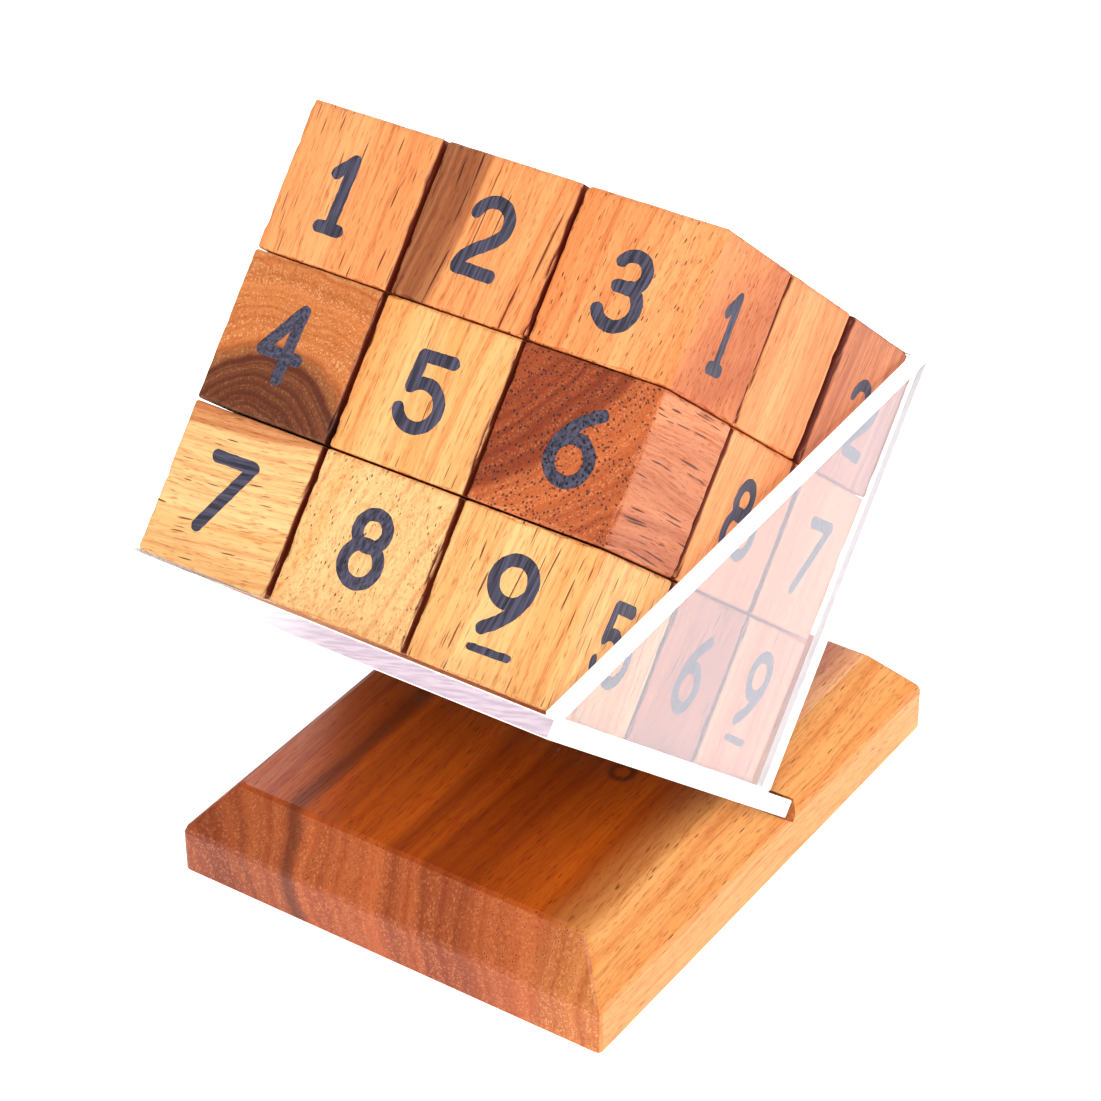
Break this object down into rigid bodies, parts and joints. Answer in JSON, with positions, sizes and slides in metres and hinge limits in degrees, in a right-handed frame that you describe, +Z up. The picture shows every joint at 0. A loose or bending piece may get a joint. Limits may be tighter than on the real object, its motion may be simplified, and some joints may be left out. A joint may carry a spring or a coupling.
{
  "type": "sudoku cube",
  "caption": "Wooden number-cube puzzle: loose numbered cubes stacked as one block in a clear tray that leans out of a bevelled wooden base.",
  "frame": {"origin": "centre of the base's underside", "axes": "+Z up; +X along the base's end grain, to the right as seen from the tray's open front; +Y from the tray's open front towards its back"},
  "size_m": [0.0804, 0.1116, 0.1239],
  "materials": {
    "wood_golden": "sanded, light wax",
    "wood_orange": "sanded, light wax",
    "wood_brown": "sanded, light wax",
    "base_wood": "satin oil",
    "clear_sheet": "clear, polished faces and sawn edges"
  },
  "bodies": {
    "stand": {"base": "base_wood", "tray_floor": "clear_sheet", "tray_back": "clear_sheet", "tray_side_left": "clear_sheet", "tray_side_right": "clear_sheet"},
    "cube_lower_front_left": {"cube_lower_front_left": "wood_golden"},
    "cube_lower_front_centre": {"cube_lower_front_centre": "wood_golden"},
    "cube_lower_front_right": {"cube_lower_front_right": "wood_orange"},
    "cube_lower_inner_left": {"cube_lower_inner_left": "wood_orange"},
    "cube_lower_inner_centre": {"cube_lower_inner_centre": "wood_brown"},
    "cube_lower_inner_right": {"cube_lower_inner_right": "wood_brown"},
    "cube_lower_back_left": {"cube_lower_back_left": "wood_golden"},
    "cube_lower_back_centre": {"cube_lower_back_centre": "wood_orange"},
    "cube_lower_back_right": {"cube_lower_back_right": "wood_golden"},
    "cube_middle_front_left": {"cube_middle_front_left": "wood_brown"},
    "cube_middle_front_centre": {"cube_middle_front_centre": "wood_golden"},
    "cube_middle_front_right": {"cube_middle_front_right": "wood_brown"},
    "cube_middle_inner_left": {"cube_middle_inner_left": "wood_orange"},
    "cube_middle_inner_centre": {"cube_middle_inner_centre": "wood_golden"},
    "cube_middle_inner_right": {"cube_middle_inner_right": "wood_orange"},
    "cube_middle_back_left": {"cube_middle_back_left": "wood_golden"},
    "cube_middle_back_centre": {"cube_middle_back_centre": "wood_orange"},
    "cube_middle_back_right": {"cube_middle_back_right": "wood_golden"},
    "cube_upper_front_left": {"cube_upper_front_left": "wood_orange"},
    "cube_upper_front_centre": {"cube_upper_front_centre": "wood_orange"},
    "cube_upper_front_right": {"cube_upper_front_right": "wood_golden"},
    "cube_upper_inner_left": {"cube_upper_inner_left": "wood_golden"},
    "cube_upper_inner_centre": {"cube_upper_inner_centre": "wood_brown"},
    "cube_upper_inner_right": {"cube_upper_inner_right": "wood_orange"},
    "cube_upper_back_left": {"cube_upper_back_left": "wood_brown"},
    "cube_upper_back_centre": {"cube_upper_back_centre": "wood_golden"},
    "cube_upper_back_right": {"cube_upper_back_right": "wood_brown"}
  },
  "joints": [
    {"name": "lift_lower_front_left", "type": "slide", "parent": "stand", "child": "cube_lower_front_left", "axis": [0, 0.6587, 0.7524], "range_m": [0, 0.0786]},
    {"name": "lift_lower_front_centre", "type": "slide", "parent": "stand", "child": "cube_lower_front_centre", "axis": [0, 0.6587, 0.7524], "range_m": [0, 0.0786]},
    {"name": "lift_lower_front_right", "type": "slide", "parent": "stand", "child": "cube_lower_front_right", "axis": [0, 0.6587, 0.7524], "range_m": [0, 0.0786]},
    {"name": "lift_lower_inner_left", "type": "slide", "parent": "stand", "child": "cube_lower_inner_left", "axis": [0, 0.6587, 0.7524], "range_m": [0, 0.0786]},
    {"name": "lift_lower_inner_centre", "type": "slide", "parent": "stand", "child": "cube_lower_inner_centre", "axis": [0, 0.6587, 0.7524], "range_m": [0, 0.0786]},
    {"name": "lift_lower_inner_right", "type": "slide", "parent": "stand", "child": "cube_lower_inner_right", "axis": [0, 0.6587, 0.7524], "range_m": [0, 0.0786]},
    {"name": "lift_lower_back_left", "type": "slide", "parent": "stand", "child": "cube_lower_back_left", "axis": [0, 0.6587, 0.7524], "range_m": [0, 0.0786]},
    {"name": "lift_lower_back_centre", "type": "slide", "parent": "stand", "child": "cube_lower_back_centre", "axis": [0, 0.6587, 0.7524], "range_m": [0, 0.0786]},
    {"name": "lift_lower_back_right", "type": "slide", "parent": "stand", "child": "cube_lower_back_right", "axis": [0, 0.6587, 0.7524], "range_m": [0, 0.0786]},
    {"name": "lift_middle_front_left", "type": "slide", "parent": "cube_lower_front_left", "child": "cube_middle_front_left", "axis": [0, 0.6587, 0.7524], "range_m": [0, 0.0543]},
    {"name": "lift_middle_front_centre", "type": "slide", "parent": "cube_lower_front_centre", "child": "cube_middle_front_centre", "axis": [0, 0.6587, 0.7524], "range_m": [0, 0.0543]},
    {"name": "lift_middle_front_right", "type": "slide", "parent": "cube_lower_front_right", "child": "cube_middle_front_right", "axis": [0, 0.6587, 0.7524], "range_m": [0, 0.0543]},
    {"name": "lift_middle_inner_left", "type": "slide", "parent": "cube_lower_inner_left", "child": "cube_middle_inner_left", "axis": [0, 0.6587, 0.7524], "range_m": [0, 0.0543]},
    {"name": "lift_middle_inner_centre", "type": "slide", "parent": "cube_lower_inner_centre", "child": "cube_middle_inner_centre", "axis": [0, 0.6587, 0.7524], "range_m": [0, 0.0543]},
    {"name": "lift_middle_inner_right", "type": "slide", "parent": "cube_lower_inner_right", "child": "cube_middle_inner_right", "axis": [0, 0.6587, 0.7524], "range_m": [0, 0.0543]},
    {"name": "lift_middle_back_left", "type": "slide", "parent": "cube_lower_back_left", "child": "cube_middle_back_left", "axis": [0, 0.6587, 0.7524], "range_m": [0, 0.0543]},
    {"name": "lift_middle_back_centre", "type": "slide", "parent": "cube_lower_back_centre", "child": "cube_middle_back_centre", "axis": [0, 0.6587, 0.7524], "range_m": [0, 0.0543]},
    {"name": "lift_middle_back_right", "type": "slide", "parent": "cube_lower_back_right", "child": "cube_middle_back_right", "axis": [0, 0.6587, 0.7524], "range_m": [0, 0.0543]},
    {"name": "lift_upper_front_left", "type": "slide", "parent": "cube_middle_front_left", "child": "cube_upper_front_left", "axis": [0, 0.6587, 0.7524], "range_m": [0, 0.03]},
    {"name": "lift_upper_front_centre", "type": "slide", "parent": "cube_middle_front_centre", "child": "cube_upper_front_centre", "axis": [0, 0.6587, 0.7524], "range_m": [0, 0.03]},
    {"name": "lift_upper_front_right", "type": "slide", "parent": "cube_middle_front_right", "child": "cube_upper_front_right", "axis": [0, 0.6587, 0.7524], "range_m": [0, 0.03]},
    {"name": "lift_upper_inner_left", "type": "slide", "parent": "cube_middle_inner_left", "child": "cube_upper_inner_left", "axis": [0, 0.6587, 0.7524], "range_m": [0, 0.03]},
    {"name": "lift_upper_inner_centre", "type": "slide", "parent": "cube_middle_inner_centre", "child": "cube_upper_inner_centre", "axis": [0, 0.6587, 0.7524], "range_m": [0, 0.03]},
    {"name": "lift_upper_inner_right", "type": "slide", "parent": "cube_middle_inner_right", "child": "cube_upper_inner_right", "axis": [0, 0.6587, 0.7524], "range_m": [0, 0.03]},
    {"name": "lift_upper_back_left", "type": "slide", "parent": "cube_middle_back_left", "child": "cube_upper_back_left", "axis": [0, 0.6587, 0.7524], "range_m": [0, 0.03]},
    {"name": "lift_upper_back_centre", "type": "slide", "parent": "cube_middle_back_centre", "child": "cube_upper_back_centre", "axis": [0, 0.6587, 0.7524], "range_m": [0, 0.03]},
    {"name": "lift_upper_back_right", "type": "slide", "parent": "cube_middle_back_right", "child": "cube_upper_back_right", "axis": [0, 0.6587, 0.7524], "range_m": [0, 0.03]}
  ]
}
